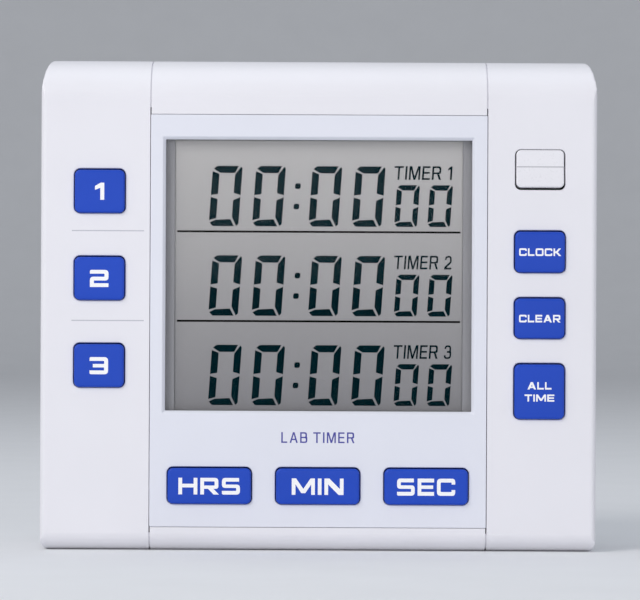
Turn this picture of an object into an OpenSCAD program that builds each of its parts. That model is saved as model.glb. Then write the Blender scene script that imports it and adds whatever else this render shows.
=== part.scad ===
// Three-channel bench timer. +X to the right seen from the front, -Y out of the display, +Z up.
// The origin is the middle of the flat bottom it stands on. Millimetres.

/* [Case] */
// Width of the case
case_w = 114; // [112:1:120]
// Height of the case
case_h = 101; // [100:1:104]
// Depth from the key faces to the back
overall_d = 30; // [30:1:34]
// Wall thickness of the sides and back
wall = 2; // [1.6:0.1:2.2]
// How far the keys stand proud of the front
key_proud = 0.8; // [0.6:0.1:1]
// How far back the rolled top shoulder runs
top_roll_d = 12; // [8:1:12]
// Height of the rolled top shoulder
top_roll_h = 8.6; // [6:0.2:8.6]

/* [Front panel] */
// Width of the inlaid panel
panel_w = 69; // [68.4:0.1:69.4]
// Height of the lower edge of the inlaid panel
panel_bottom = 4.9; // [4.6:0.1:5.4]
// Height of the upper edge of the inlaid panel
panel_top = 89.4; // [88.8:0.1:89.8]
// Thickness of the inlaid panel
panel_t = 1.2; // [1:0.1:1.3]
// Width of the display opening
window_w = 62.8; // [60:0.1:62.8]
// Height of the display opening
window_h = 55.6; // [54:0.1:55.6]
// Height of the middle of the display
window_z = 56.5; // [56:0.1:57]

/* [Keys] */
// Travel of every key
key_travel = 0.8; // [0.6:0.1:0.9]
// Distance of the left key column from the middle
left_column_x = 44.9; // [44.6:0.1:45.2]
// Distance of the right key column from the middle
right_column_x = 45.3; // [45:0.1:45.5]
// Spacing of the bottom keys
bottom_pitch = 22.2; // [22:0.1:22.6]
// Height of the middle of the bottom keys
bottom_key_z = 13.3; // [12.8:0.1:13.6]
// Corner radius of the keys
key_r = 1.1; // [0.9:0.1:1.6]

/* [Rocker] */
// Height of the rocker's pivot
rocker_z = 78.4; // [78:0.1:78.8]
// Angle between the two positions
rocker_swing = 8; // [6:1:8]

/* [Back] */
// Height of the stand's hinge
stand_hinge_z = 62; // [60:0.5:62]
// Length of the stand from hinge to foot
stand_l = 55; // [50:1:55]
// Width of the stand and battery door
back_w = 60; // [58:1:60]

/* [Hidden] */
$fn = 64;
eps = 0.01;

// Colours
white = [0.90, 0.90, 0.92];
panel_white = [0.87, 0.88, 0.93];
blue = [0.14, 0.29, 0.75];
grey = [0.49, 0.49, 0.52];
board_green = [0.08, 0.35, 0.18];
rubber_grey = [0.75, 0.75, 0.77];
steel = [0.72, 0.73, 0.75];

// Depth of each layer, from the front to the back
key_y = -overall_d / 2;
back_y = overall_d / 2;
face_y = key_y + key_proud;
panel_back_y = face_y + panel_t;
inner_y = face_y + 2.2;
back_inner_y = back_y - wall;
parting_y = 1;
board_y = face_y + 7.2;
board_t = 1.6;
board_back_y = board_y + board_t;
mat_t = 0.8;
mat_y = board_y - mat_t;
dome_y = mat_y - 2 * key_travel;
glass_y = face_y + 2.8;
glass_t = 1.1;
film_t = 0.2;

// Case corners and rolls
top_corner_w = 2.2;
top_corner_h = 8.5;
low_corner_w = 1.6;
low_corner_h = 2.6;
plan_front_r = 1.2;
plan_back_r = 3;
bottom_roll_d = 4.6;
bottom_roll_h = 3.8;
back_roll = 3;
lip_inset = 1.15;
lip_l = 1.4;
groove_w = 0.3;
groove_d = 0.3;
panel_play = 0.08;
lcd_play = 0.4;
film_play = 0.2;
screw_play = 0.2;
magnet_play = 0.1;
buzzer_play = 0.15;

// Display module
window_t = inner_y - panel_back_y;
window_margin = 1.8;
bevel = 0.6;
glass_w = 65;
front_glass_h = 58;
rear_glass_h = 53;
lcd_frame_w = 69.4;
lcd_frame_h = 62.4;
lcd_lip_w = 1.8;
lcd_lip_t = 0.45;
lcd_frame_y = inner_y + 0.1;
strip_w = 60;
strip_h = 2;
strip_z = 27.8;

// Keys: [name, middle x, middle z, width, height]. Each sits low in its opening, by its own weight.
column_key_w = 10.2;
left_key_h = 8.8;
left_pitch = 17.85;
left_mid_z = 55.7;
bottom_key_w = 17.1;
bottom_key_h = 7.3;
KEYS = [
    ["key_1", -left_column_x, left_mid_z + left_pitch, column_key_w, left_key_h],
    ["key_2", -left_column_x, left_mid_z, column_key_w, left_key_h],
    ["key_3", -left_column_x, left_mid_z - left_pitch, column_key_w, left_key_h],
    ["key_clock", right_column_x, 61.5, column_key_w, 8.35],
    ["key_clear", right_column_x, 47.9, column_key_w, 8.2],
    ["key_all_time", right_column_x, 32.9, column_key_w, 11.2],
    ["key_hrs", -bottom_pitch, bottom_key_z, bottom_key_w, bottom_key_h],
    ["key_min", 0, bottom_key_z, bottom_key_w, bottom_key_h],
    ["key_sec", bottom_pitch, bottom_key_z, bottom_key_w, bottom_key_h]
];
key_gap = 0.2;
key_sag = 0.1;
key_skin = 1;
flange = 0.8;
flange_y = inner_y + 0.1;
flange_t = 0.8;
stem_r = 1.8;
dome_base_r = 3;
dome_top_r = 2;
pill_r = 1.2;
dome_skin = 0.7;
stem_gap = 0.2;
mat_w = 13;
left_mat_h = 50;
right_mat_z = 46;
right_mat_h = 44;
bottom_mat_w = 62;
bottom_mat_h = 9;

// Rocker: a plate with a shallow valley across its middle, turning on two stub pins behind the front wall
rocker_x = right_column_x;
rocker_w = 9.8;
rocker_h = 7.7;
rocker_r = 1;
rocker_y = face_y + 3;
rocker_proud = 0.04;
rocker_shoulder = 0.6;
rocker_tail_h = 4;
rocker_tail_d = 1.2;
rocker_hole_w = 10.3;
rocker_hole_h = 8.3;
rocker_hole_r = 1.2;
rocker_gap = 0.22;
rocker_pin_r = 0.7;
rocker_pin_l = 1.4;
base_h = 7;
base_foot_t = 0.8;
base_ear_h = 5;
base_slot_d = 0.4;
base_ear_t = 1.4;
pin_play = 0.05;

// Screws
case_screw_x = 49;
case_screw_z = 8.5;
case_boss_r = 3.3;
case_screw_r = 1.2;
case_head_r = 2.3;
case_head_t = 1.8;
case_pocket_r = 2.6;
case_seat_y = back_y - 7.8;
case_tip_y = parting_y - 6;
board_screw_x = 40;
board_screw_low_z = 20;
board_screw_high_z = 89;
board_boss_r = 2.4;
board_screw_r = 0.9;
board_head_r = 1.7;
board_head_t = 1.1;
board_screw_l = 4;
slot_w = 0.5;
slot_d = 0.8;
case_slot_l = 2.4;
board_slot_l = 1.8;

// Board
board_w = 106;
board_bottom = 5;
board_top = 95;
board_notch = 9;

// Small parts on the back of the board
chip_z = 50;
chip_r = 7;
chip_h = 1.5;
crystal_x = -12;
crystal_z = 38;
crystal_r = 1.5;
crystal_l = 6.5;
part_l = 2;
part_w = 1.2;
part_h = 0.6;
part_pitch = 5;
part_row_x = -14;
part_row_z = 30;
part_column_x = 16;
part_column_z = 40;
capacitor_x = 20;
capacitor_z = 56;
capacitor_r = 2.5;
capacitor_h = 5;

// Battery bay: two cells lying side by side
cell_r = 5.25;
cell_l = 43.7;
cell_nub_r = 1.9;
cell_nub_l = 0.8;
cell_y = back_y - 7.4;
cell_low_z = 75;
cell_high_z = 86.6;
bay_w = 53;
bay_low_z = 69.3;
bay_high_z = 92.3;
bay_floor_y = back_y - 13;
bay_wall = 1.4;
contact_t = 0.4;
spring_wire_r = 0.3;
spring_turns = 4;
spring_big_r = 3.6;
spring_small_r = 2.2;
spring_sink = 0.2;
plate_x = bay_w / 2 - contact_t;
plate_h = 8;
tail_w = 3;
tail_slot_w = 3.4;
tail_y = bay_floor_y - bay_wall - 1;
cell_shift = plate_x - cell_nub_l - cell_l / 2;

// Battery door and stand
door_t = 1.6;
door_low_z = 67.7;
door_hinge_y = back_y - 1.1;
door_hinge_z = 93.2;
door_barrel_r = 1.1;
door_pin_r = 0.8;
door_pin_l = 1.6;
door_gap = 0.3;
grip_w = 12;
grip_rise = 3;
grip_pitch = 1.2;
grip_d = 0.4;
tongue_t = 1;
tongue_l = 2;
stand_t = 2.6;
stand_y = back_y - 2.7;
stand_hinge_y = back_y - 2;
stand_barrel_r = 1.9;
stand_pin_r = 1.25;
stand_pin_l = 2;
stand_foot_z = stand_hinge_z - stand_l;
stand_floor_y = back_y - 4.2;
stand_wall = 3;
stand_rib_w = 1.4;
stand_hollow_d = 1.2;
stand_heel = 2.5;
stand_heel_t = 1;
notch_r = 2.9;
notch_h = 6;
notch_d = 2.6;
notch_w = 18;

// Buzzer and magnets
buzzer_x = 43;
buzzer_z = 45;
buzzer_r = 10;
buzzer_y = back_y - 3.3;
buzzer_t = 0.3;
ceramic_r = 7;
hole_r = 0.8;
hole_ring_r = 4.5;
magnet_x = 43;
magnet_z = 78;
magnet_r = 7;
magnet_t = 2.9;
magnet_pocket_y = back_y - 3;
wire_r = 0.5;

// ---- Helpers ----

// Draws a 2D outline as a solid between two depths; the outline's x and y are the part's X and Z.
module along_y(y0, y1) {
    translate([0, y1, 0])
        rotate([90, 0, 0])
            linear_extrude(y1 - y0)
                children();
}

// Draws a 2D outline as a solid between two widths; the outline's x and y are the part's Y and Z.
module along_x(x0, x1) {
    translate([x0, 0, 0])
        rotate([90, 0, 90])
            linear_extrude(x1 - x0)
                children();
}

// A rectangle with round corners about its middle
module round_rect(w, h, r) {
    square([w - 2 * r, h], center = true);
    square([w, h - 2 * r], center = true);
    for (sx = [-1, 1], sz = [-1, 1])
        translate([sx * (w / 2 - r), sz * (h / 2 - r)])
            circle(r);
}

module block(x, z, w, h, y0, y1) {
    along_y(y0, y1)
        translate([x, z])
            square([w, h], center = true);
}

module round_block(x, z, w, h, r, y0, y1) {
    along_y(y0, y1)
        translate([x, z])
            round_rect(w, h, r);
}

module disc_y(x, z, r, y0, y1) {
    along_y(y0, y1)
        translate([x, z])
            circle(r);
}

module rod_x(y, z, r, x0, x1) {
    along_x(x0, x1)
        translate([y, z])
            circle(r);
}

// Points of a quarter ellipse about a centre, from angle a0 to a1
function roll(cx, cz, rx, rz, a0, a1, n = 20) =
    [for (i = [0 : n]) [cx + rx * cos(a0 + (a1 - a0) * i / n), cz + rz * sin(a0 + (a1 - a0) * i / n)]];

// Side profile of the case, in Y and Z, drawn smaller by inset
module side_profile(inset) {
    front = face_y + inset;
    back = back_y - inset;
    top = case_h - inset;
    tail_r = back_roll - inset;
    polygon(concat(
        roll(face_y + top_roll_d, case_h - top_roll_h, top_roll_d - inset, top_roll_h - inset, 90, 180),
        roll(face_y + bottom_roll_d, bottom_roll_h, bottom_roll_d - inset, bottom_roll_h - inset, 180, 270),
        roll(back - tail_r, inset + tail_r, tail_r, tail_r, 270, 360, 10),
        roll(back - tail_r, top - tail_r, tail_r, tail_r, 0, 90, 10)
    ));
}

// Front outline of the case, in X and Z. Its upper corners lean in gently before they turn.
module front_outline(inset) {
    half = case_w / 2 - inset;
    top = case_h - inset;
    top_w = max(top_corner_w - inset, 0.5);
    top_h = top_corner_h - inset;
    low_w = max(low_corner_w - inset, 0.5);
    low_h = low_corner_h - inset;
    polygon(concat(
        roll(half - top_w, top - top_h, top_w, top_h, 0, 90),
        roll(top_w - half, top - top_h, top_w, top_h, 90, 180),
        roll(low_w - half, inset + low_h, low_w, low_h, 180, 270, 10),
        roll(half - low_w, inset + low_h, low_w, low_h, 270, 360, 10)
    ));
}

// Plan outline of the case, in X and Y
module plan_outline(inset) {
    half = case_w / 2 - inset;
    front = face_y + inset;
    back = back_y - inset;
    front_r = max(plan_front_r - inset, 0.4);
    tail_r = plan_back_r - inset;
    union() {
        translate([-half, front + front_r])
            square([2 * half, back - front - front_r - tail_r]);
        translate([front_r - half, front])
            square([2 * (half - front_r), back - front - tail_r]);
        translate([tail_r - half, front + front_r])
            square([2 * (half - tail_r), back - front - front_r]);
        for (s = [-1, 1]) {
            translate([s * (half - front_r), front + front_r])
                circle(front_r);
            translate([s * (half - tail_r), back - tail_r])
                circle(tail_r);
        }
    }
}

// The whole case as one solid, drawn smaller by inset
module case_body(inset) {
    intersection() {
        along_y(face_y + inset, back_y - inset)
            front_outline(inset);
        along_x(inset - case_w / 2, case_w / 2 - inset)
            side_profile(inset);
        translate([0, 0, inset])
            linear_extrude(case_h - 2 * inset)
                plan_outline(inset);
    }
}

// Everything between two depths, wider than the case
module slab(y0, y1) {
    translate([-case_w, y0, -case_h])
        cube([2 * case_w, y1 - y0, 3 * case_h]);
}

// A rectangular hole that widens towards the front by 45 degrees
module bevelled_hole(w, h, z, y0, y1) {
    grow = y1 - y0;
    intersection() {
        translate([0, 0, z - h])
            linear_extrude(2 * h)
                polygon([[-w / 2 - grow, y0], [w / 2 + grow, y0], [w / 2, y1], [-w / 2, y1]]);
        along_x(-w, w)
            polygon([[y0, z - h / 2 - grow], [y0, z + h / 2 + grow], [y1, z + h / 2], [y1, z - h / 2]]);
    }
}

// A coil along +X that narrows from r0 to r1
module coil(r0, r1, length, turns, wire_r) {
    sides = 6;
    rings = turns * 12;
    function middle(i) = let (t = i / rings, a = 360 * turns * t, r = r0 + (r1 - r0) * t)
        [length * t, r * cos(a), r * sin(a)];
    points = [
        for (i = [0 : rings], k = [0 : sides - 1])
            let (p = middle(i), a = 360 * turns * i / rings, b = 360 * k / sides)
                p + wire_r * [sin(b), cos(b) * cos(a), cos(b) * sin(a)]
    ];
    walls = [
        for (i = [0 : rings - 1], k = [0 : sides - 1])
            let (n = (k + 1) % sides)
                [i * sides + n, (i + 1) * sides + n, (i + 1) * sides + k, i * sides + k]
    ];
    start_cap = [[for (k = [0 : sides - 1]) sides - 1 - k]];
    end_cap = [[for (k = [0 : sides - 1]) rings * sides + k]];
    polyhedron(points, concat(walls, start_cap, end_cap));
}

module at_case_screws() {
    for (sx = [-1, 1], z = [case_screw_z, case_h - case_screw_z])
        translate([sx * case_screw_x, 0, z])
            children();
}

module at_board_screws() {
    for (sx = [-1, 1], z = [board_screw_low_z, board_screw_high_z])
        translate([sx * board_screw_x, 0, z])
            children();
}

// ---- Case ----

module key_openings(y0, y1) {
    for (k = KEYS)
        round_block(k[1], k[2] + key_sag, k[3] + 2 * key_gap, k[4] + 2 * key_gap, key_r + key_gap, y0, y1);
}

module rocker_opening() {
    round_block(rocker_x, rocker_z, rocker_hole_w, rocker_hole_h, rocker_hole_r, face_y - 1, inner_y + 0.5);
}

module panel_recess() {
    block(0, (panel_top + panel_bottom) / 2, panel_w + 2 * panel_play,
          panel_top - panel_bottom + 2 * panel_play, face_y - 1, panel_back_y);
}

// The two fine grooves that run over the front and both rolls
module case_grooves() {
    for (s = [-1, 1])
        translate([s * panel_w / 2, 0, 0])
            difference() {
                along_x(-groove_w / 2, groove_w / 2)
                    side_profile(0);
                along_x(-groove_w, groove_w)
                    side_profile(groove_d);
                slab(parting_y - 2, back_y + 1);
            }
}

module front_shell() {
    color(white)
        difference() {
            union() {
                difference() {
                    intersection() {
                        case_body(0);
                        slab(face_y - 1, parting_y);
                    }
                    intersection() {
                        case_body(wall);
                        slab(inner_y, back_y);
                    }
                    intersection() {
                        case_body(lip_inset - 0.15);
                        slab(parting_y - lip_l - 0.2, back_y);
                    }
                }
                intersection() {
                    at_case_screws()
                        disc_y(0, 0, case_boss_r, inner_y - 1, parting_y);
                    case_body(lip_inset + 0.35);
                }
                at_board_screws()
                    disc_y(0, 0, board_boss_r, inner_y - 1, board_y);
            }
            panel_recess();
            block(0, window_z, window_w + 2 * window_margin + lcd_play,
                  window_h + 2 * window_margin + lcd_play, face_y, inner_y + 0.5);
            key_openings(face_y - 1, inner_y + 0.5);
            rocker_opening();
            case_grooves();
            at_case_screws()
                disc_y(0, 0, case_screw_r + 0.05, case_tip_y - 1, parting_y + 1);
            at_board_screws()
                disc_y(0, 0, board_screw_r + 0.05, inner_y + 0.4, board_y + 1);
        }
}

module battery_bay_outer() {
    block(0, (bay_low_z + bay_high_z) / 2, bay_w + 2 * bay_wall, bay_high_z - bay_low_z + 2 * bay_wall,
          bay_floor_y - bay_wall, back_inner_y + 1);
}

module door_pocket() {
    half = back_w / 2 + door_gap;
    block(0, (door_low_z + door_hinge_z) / 2 - door_gap / 2, 2 * half, door_hinge_z - door_low_z + door_gap,
          back_y - door_t - 0.1, back_y + 1);
    rod_x(door_hinge_y, door_hinge_z, door_barrel_r + door_gap, -half, half);
    block(0, door_hinge_z, 2 * half, 2 * (door_barrel_r + door_gap), door_hinge_y, back_y + 1);
    rod_x(door_hinge_y, door_hinge_z, door_pin_r + pin_play, -half - door_pin_l, half + door_pin_l);
}

module stand_pocket() {
    half = back_w / 2 + 0.4;
    low = stand_foot_z - 0.4;
    high = stand_hinge_z + 3;
    block(0, (low + high) / 2, 2 * half, high - low, stand_floor_y, back_y + 1);
    rod_x(stand_hinge_y, stand_hinge_z, stand_pin_r + pin_play, -half - stand_pin_l, half + stand_pin_l);
    round_block(0, low, notch_w, notch_h, notch_r, back_y - notch_d, back_y + 1);
}

module rear_shell() {
    color(white)
        difference() {
            union() {
                difference() {
                    union() {
                        intersection() {
                            case_body(0);
                            slab(parting_y, back_y + 1);
                        }
                        intersection() {
                            case_body(lip_inset);
                            slab(parting_y - lip_l, parting_y + 1);
                        }
                    }
                    intersection() {
                        case_body(wall);
                        slab(face_y, back_inner_y);
                    }
                }
                intersection() {
                    at_case_screws()
                        disc_y(0, 0, case_boss_r + screw_play, parting_y, back_inner_y + 1);
                    case_body(lip_inset);
                }
                battery_bay_outer();
                block(0, (stand_foot_z + stand_hinge_z) / 2 + 0.5, back_w + 2 * stand_wall + 0.8,
                      stand_l + 8, stand_floor_y - 1.6, back_inner_y + 1);
                disc_y(buzzer_x, buzzer_z, buzzer_r + 1, buzzer_y - 1.2, back_inner_y + 1);
                for (s = [-1, 1])
                    disc_y(s * magnet_x, magnet_z, magnet_r + 1.2, magnet_pocket_y - 1.4, back_inner_y + 1);
            }
            block(0, (bay_low_z + bay_high_z) / 2, bay_w, bay_high_z - bay_low_z, bay_floor_y, back_y + 1);
            door_pocket();
            stand_pocket();
            at_case_screws() {
                disc_y(0, 0, case_pocket_r, case_seat_y, back_y + 1);
                disc_y(0, 0, case_screw_r + screw_play, parting_y - 2, case_seat_y + 1);
            }
            disc_y(buzzer_x, buzzer_z, buzzer_r + buzzer_play, buzzer_y - 2, buzzer_y + buzzer_t);
            disc_y(buzzer_x, buzzer_z, buzzer_r - 1.4, buzzer_y - 2, back_inner_y);
            disc_y(buzzer_x, buzzer_z, hole_r, back_inner_y - 1, back_y + 1);
            for (a = [0 : 60 : 300])
                disc_y(buzzer_x + hole_ring_r * cos(a), buzzer_z + hole_ring_r * sin(a), hole_r,
                       back_inner_y - 1, back_y + 1);
            for (s = [-1, 1])
                disc_y(s * magnet_x, magnet_z, magnet_r + magnet_play, magnet_pocket_y, back_y + 1);
            // Slots in the bay floor for the tails of the battery contacts
            for (x = [-1, 1], z = [cell_low_z, cell_high_z])
                block(x * (bay_w / 2 - 0.5), z, 1, tail_slot_w, bay_floor_y - 2 * bay_wall, bay_floor_y + 1);
        }
}

module case_screws() {
    color(steel)
        at_case_screws()
            difference() {
                union() {
                    disc_y(0, 0, case_screw_r, case_tip_y, case_seat_y);
                    disc_y(0, 0, case_head_r, case_seat_y, case_seat_y + case_head_t);
                }
                cross_slot(case_seat_y + case_head_t, case_slot_l);
            }
}

// The cross recess of a screw whose head faces +Y
module cross_slot(head_y, size) {
    for (a = [0, 90])
        translate([0, head_y, 0])
            rotate([0, a, 0])
                translate([-size / 2, -slot_d, -slot_w / 2])
                    cube([size, 1, slot_w]);
}

// ---- Front panel and display ----

module front_panel() {
    color(panel_white)
        difference() {
            block(0, (panel_top + panel_bottom) / 2, panel_w, panel_top - panel_bottom, face_y, panel_back_y);
            block(0, window_z, window_w, window_h, face_y - 1, panel_back_y + 1);
            bevelled_hole(window_w, window_h, window_z, face_y - eps, face_y + bevel);
            key_openings(face_y - 1, panel_back_y + 1);
        }
}

module display_window() {
    color([0.8, 0.85, 0.9, 0.3])
        block(0, window_z, window_w + 2 * window_margin, window_h + 2 * window_margin,
              panel_back_y, panel_back_y + window_t);
}

module lcd_frame() {
    color(grey)
        difference() {
            block(0, window_z, lcd_frame_w, lcd_frame_h, lcd_frame_y, board_y);
            block(0, window_z, glass_w + lcd_play, front_glass_h + lcd_play, lcd_frame_y + lcd_lip_t,
                  board_y + 1);
            block(0, window_z, window_w - 2 * lcd_lip_w, window_h + lcd_play, lcd_frame_y - 1, board_y + 1);
        }
}

module lcd_front_glass() {
    color([0.66, 0.66, 0.68])
        block(0, window_z, glass_w, front_glass_h, glass_y, glass_y + glass_t);
}

module lcd_rear_glass() {
    color([0.66, 0.68, 0.68])
        block(0, window_z, glass_w, rear_glass_h, glass_y + glass_t, glass_y + 2 * glass_t);
}

module front_polariser() {
    color([0.65, 0.66, 0.67])
        block(0, window_z, window_w - 2 * lcd_lip_w - film_play, window_h - film_play, glass_y - film_t,
              glass_y);
}

module rear_reflector() {
    back = glass_y + 2 * glass_t;
    color([0.8, 0.8, 0.8])
        block(0, window_z, window_w, rear_glass_h - 1, back, back + film_t);
}

module elastomer_strip(side) {
    color([0.9, 0.5, 0.55])
        block(0, window_z + side * strip_z, strip_w, strip_h, glass_y + glass_t, board_y);
}

// ---- Board ----

module main_board() {
    board_h = board_top - board_bottom;
    mid_z = (board_top + board_bottom) / 2;
    color(board_green)
        difference() {
            block(0, mid_z, board_w, board_h, board_y, board_back_y);
            for (sx = [-1, 1], sz = [-1, 1])
                block(sx * board_w / 2, mid_z + sz * board_h / 2, 2 * board_notch, 2 * board_notch,
                      board_y - 1, board_back_y + 1);
            at_board_screws()
                disc_y(0, 0, board_screw_r + 0.2, board_y - 1, board_back_y + 1);
        }
}

module board_screws() {
    color(steel)
        at_board_screws()
            difference() {
                union() {
                    disc_y(0, 0, board_screw_r, board_y - board_screw_l, board_back_y);
                    disc_y(0, 0, board_head_r, board_back_y, board_back_y + board_head_t);
                }
                cross_slot(board_back_y + board_head_t, board_slot_l);
            }
}

// The chip under its round cap of potting
module timer_chip() {
    color([0.06, 0.06, 0.07])
        translate([0, board_back_y, chip_z])
            rotate([-90, 0, 0])
                rotate_extrude()
                    polygon(concat([[0, 0]], roll(0, 0, chip_r, chip_h, 0, 90, 8)));
}

module crystal() {
    color(steel)
        rod_x(board_back_y + crystal_r, crystal_z, crystal_r, crystal_x, crystal_x + crystal_l);
}

module board_parts() {
    color([0.55, 0.45, 0.3]) {
        for (i = [0 : 5])
            block(part_row_x + part_pitch * i, part_row_z, part_l, part_w, board_back_y,
                  board_back_y + part_h);
        for (i = [0 : 2])
            block(part_column_x, part_column_z + part_pitch * i, part_w, part_l, board_back_y,
                  board_back_y + part_h);
    }
    color([0.1, 0.1, 0.3])
        disc_y(capacitor_x, capacitor_z, capacitor_r, board_back_y, board_back_y + capacitor_h);
}

// ---- Keys ----

// One rubber mat with a hollow dome under each key in the list
module keypad_mat(x, z, w, h, first, last) {
    color(rubber_grey)
        difference() {
            union() {
                round_block(x, z, w, h, 1, mat_y, board_y);
                for (i = [first : last])
                    translate([KEYS[i][1], mat_y, KEYS[i][2]])
                        rotate([90, 0, 0])
                            cylinder(h = mat_y - dome_y, r1 = dome_base_r, r2 = dome_top_r);
            }
            for (i = [first : last])
                translate([KEYS[i][1], board_y, KEYS[i][2]])
                    rotate([90, 0, 0])
                        cylinder(h = board_y - dome_y - dome_skin, r1 = dome_base_r - dome_skin,
                                 r2 = dome_top_r - dome_skin);
        }
}

module keypad_mat_left() {
    keypad_mat(-left_column_x, left_mid_z, mat_w, left_mat_h, 0, 2);
}

module keypad_mat_right() {
    keypad_mat(right_column_x, right_mat_z, mat_w, right_mat_h, 3, 5);
}

module keypad_mat_bottom() {
    keypad_mat(0, bottom_key_z, bottom_mat_w, bottom_mat_h, 6, 8);
}

module carbon_contacts() {
    pill_y = dome_y + dome_skin;
    color([0.1, 0.1, 0.1])
        for (k = KEYS)
            disc_y(k[1], k[2], pill_r, pill_y, pill_y + 0.4);
}

module key_cap(i) {
    k = KEYS[i];
    rim_y = flange_y + flange_t;
    color(blue)
        difference() {
            union() {
                round_block(k[1], k[2], k[3], k[4], key_r, key_y, rim_y);
                round_block(k[1], k[2], k[3] + 2 * flange, k[4] + 2 * flange, key_r, flange_y, rim_y);
                disc_y(k[1], k[2], stem_r, key_y + key_skin, dome_y - stem_gap);
            }
            difference() {
                round_block(k[1], k[2], k[3] - 2 * key_skin, k[4] - 2 * key_skin, key_r - key_skin / 2,
                            key_y + key_skin, rim_y + 1);
                disc_y(k[1], k[2], stem_r, key_y, dome_y + 1);
            }
        }
}

// ---- Rocker switch ----

module switch_rocker() {
    lean = rocker_swing / 2;
    half = rocker_h / 2;
    valley = (rocker_y - face_y + rocker_proud) / cos(lean);
    crest = valley + half * tan(lean);
    tail = rocker_tail_h / 2;
    color(white)
        translate([rocker_x, rocker_y, rocker_z]) {
            // Its upper half is pressed in
            rotate([-lean, 0, 0])
                intersection() {
                    along_y(-2 * crest, 2 * crest)
                        round_rect(rocker_w, rocker_h, rocker_r);
                    along_x(-rocker_w, rocker_w)
                        polygon([
                            [-valley, 0],
                            [-crest, half],
                            [-rocker_shoulder, half],
                            [-rocker_shoulder, tail],
                            [rocker_tail_d, tail],
                            [rocker_tail_d, -tail],
                            [-rocker_shoulder, -tail],
                            [-rocker_shoulder, -half],
                            [-crest, -half]
                        ]);
                }
            rod_x(0, 0, rocker_pin_r, -rocker_w / 2 - rocker_pin_l, rocker_w / 2 + rocker_pin_l);
        }
}

// A foot on the board with two ears, whose open slots hold the rocker's pins
module switch_base() {
    ear_x = rocker_w / 2 + rocker_gap;
    color([0.12, 0.12, 0.13])
        difference() {
            union() {
                block(rocker_x, rocker_z, 2 * (ear_x + base_ear_t), base_h, board_y - base_foot_t, board_y);
                for (s = [-1, 1])
                    block(rocker_x + s * (ear_x + base_ear_t / 2), rocker_z, base_ear_t, base_ear_h,
                          rocker_y - base_slot_d, board_y);
            }
            rod_x(rocker_y, rocker_z, rocker_pin_r + pin_play, rocker_x - case_w, rocker_x + case_w);
        }
}

// ---- Buzzer ----

module buzzer_disc() {
    color([0.8, 0.65, 0.3])
        disc_y(buzzer_x, buzzer_z, buzzer_r, buzzer_y, buzzer_y + buzzer_t);
}

module buzzer_ceramic() {
    color([0.85, 0.84, 0.8])
        disc_y(buzzer_x, buzzer_z, ceramic_r, buzzer_y - film_t, buzzer_y);
}

module buzzer_leads() {
    color([0.7, 0.1, 0.1]) {
        disc_y(buzzer_x, buzzer_z, wire_r, board_back_y, buzzer_y - film_t);
        disc_y(buzzer_x - 8, buzzer_z, wire_r, board_back_y, buzzer_y);
    }
}

// ---- Power ----

// One cell along X; side is the end that its positive button points to
module cell(z, side) {
    rod_x(cell_y, z, cell_r, -cell_l / 2, cell_l / 2);
    rod_x(cell_y, z, cell_nub_r, min(0, side * (cell_l / 2 + cell_nub_l)),
          max(0, side * (cell_l / 2 + cell_nub_l)));
}

module battery_lower() {
    color([0.2, 0.2, 0.22])
        translate([cell_shift, 0, 0])
            cell(cell_low_z, 1);
}

module battery_upper() {
    color([0.2, 0.2, 0.22])
        translate([-cell_shift, 0, 0])
            cell(cell_high_z, -1);
}

// A contact plate against the end wall of the bay, with a tail through the floor
module contact_plate(side, z, h) {
    x = side * (bay_w / 2 - contact_t / 2);
    block(x, z, contact_t, h, bay_floor_y + 0.2, cell_y + 3);
}

module contact_tail(side, z) {
    x = side * (bay_w / 2 - contact_t / 2);
    block(x, z, contact_t, tail_w, tail_y, bay_floor_y + 1);
}

module contact_spring(side, z) {
    translate([side * plate_x, cell_y, z])
        mirror([side > 0 ? 1 : 0, 0, 0])
            translate([-spring_sink, 0, 0])
                coil(spring_big_r, spring_small_r, 2 * cell_shift + cell_nub_l - spring_sink, spring_turns,
                     spring_wire_r);
}

module contact_negative() {
    color(steel) {
        contact_plate(-1, cell_low_z, plate_h);
        contact_tail(-1, cell_low_z);
        contact_spring(-1, cell_low_z);
    }
}

module contact_positive() {
    color(steel) {
        contact_plate(-1, cell_high_z, plate_h);
        contact_tail(-1, cell_high_z);
    }
}

module contact_bridge() {
    color(steel) {
        contact_plate(1, (cell_low_z + cell_high_z) / 2, cell_high_z - cell_low_z + plate_h);
        contact_spring(1, cell_high_z);
    }
}

module battery_leads() {
    color([0.1, 0.1, 0.1])
        for (z = [cell_low_z, cell_high_z])
            disc_y(contact_t / 2 - bay_w / 2, z, wire_r, board_back_y, tail_y);
}

// ---- Door, stand, magnets ----

module battery_door() {
    color(white) {
        difference() {
            union() {
                block(0, (door_low_z + door_hinge_z) / 2 + door_gap / 2, back_w,
                      door_hinge_z - door_low_z - door_gap, back_y - door_t, back_y);
                rod_x(door_hinge_y, door_hinge_z, door_barrel_r, -back_w / 2, back_w / 2);
            }
            // Ridged thumb grip near the lower edge
            for (i = [0 : 3])
                block(0, door_low_z + grip_rise + grip_pitch * i, grip_w, grip_pitch / 2, back_y - grip_d,
                      back_y + 1);
        }
        rod_x(door_hinge_y, door_hinge_z, door_pin_r, -back_w / 2 - door_pin_l + 0.1,
              back_w / 2 + door_pin_l - 0.1);
        // Tongue that keeps the door square in the bay's mouth
        block(0, bay_low_z + 0.8, grip_w, tongue_t, back_y - door_t - tongue_l, back_y - door_t + 0.2);
    }
}

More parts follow.
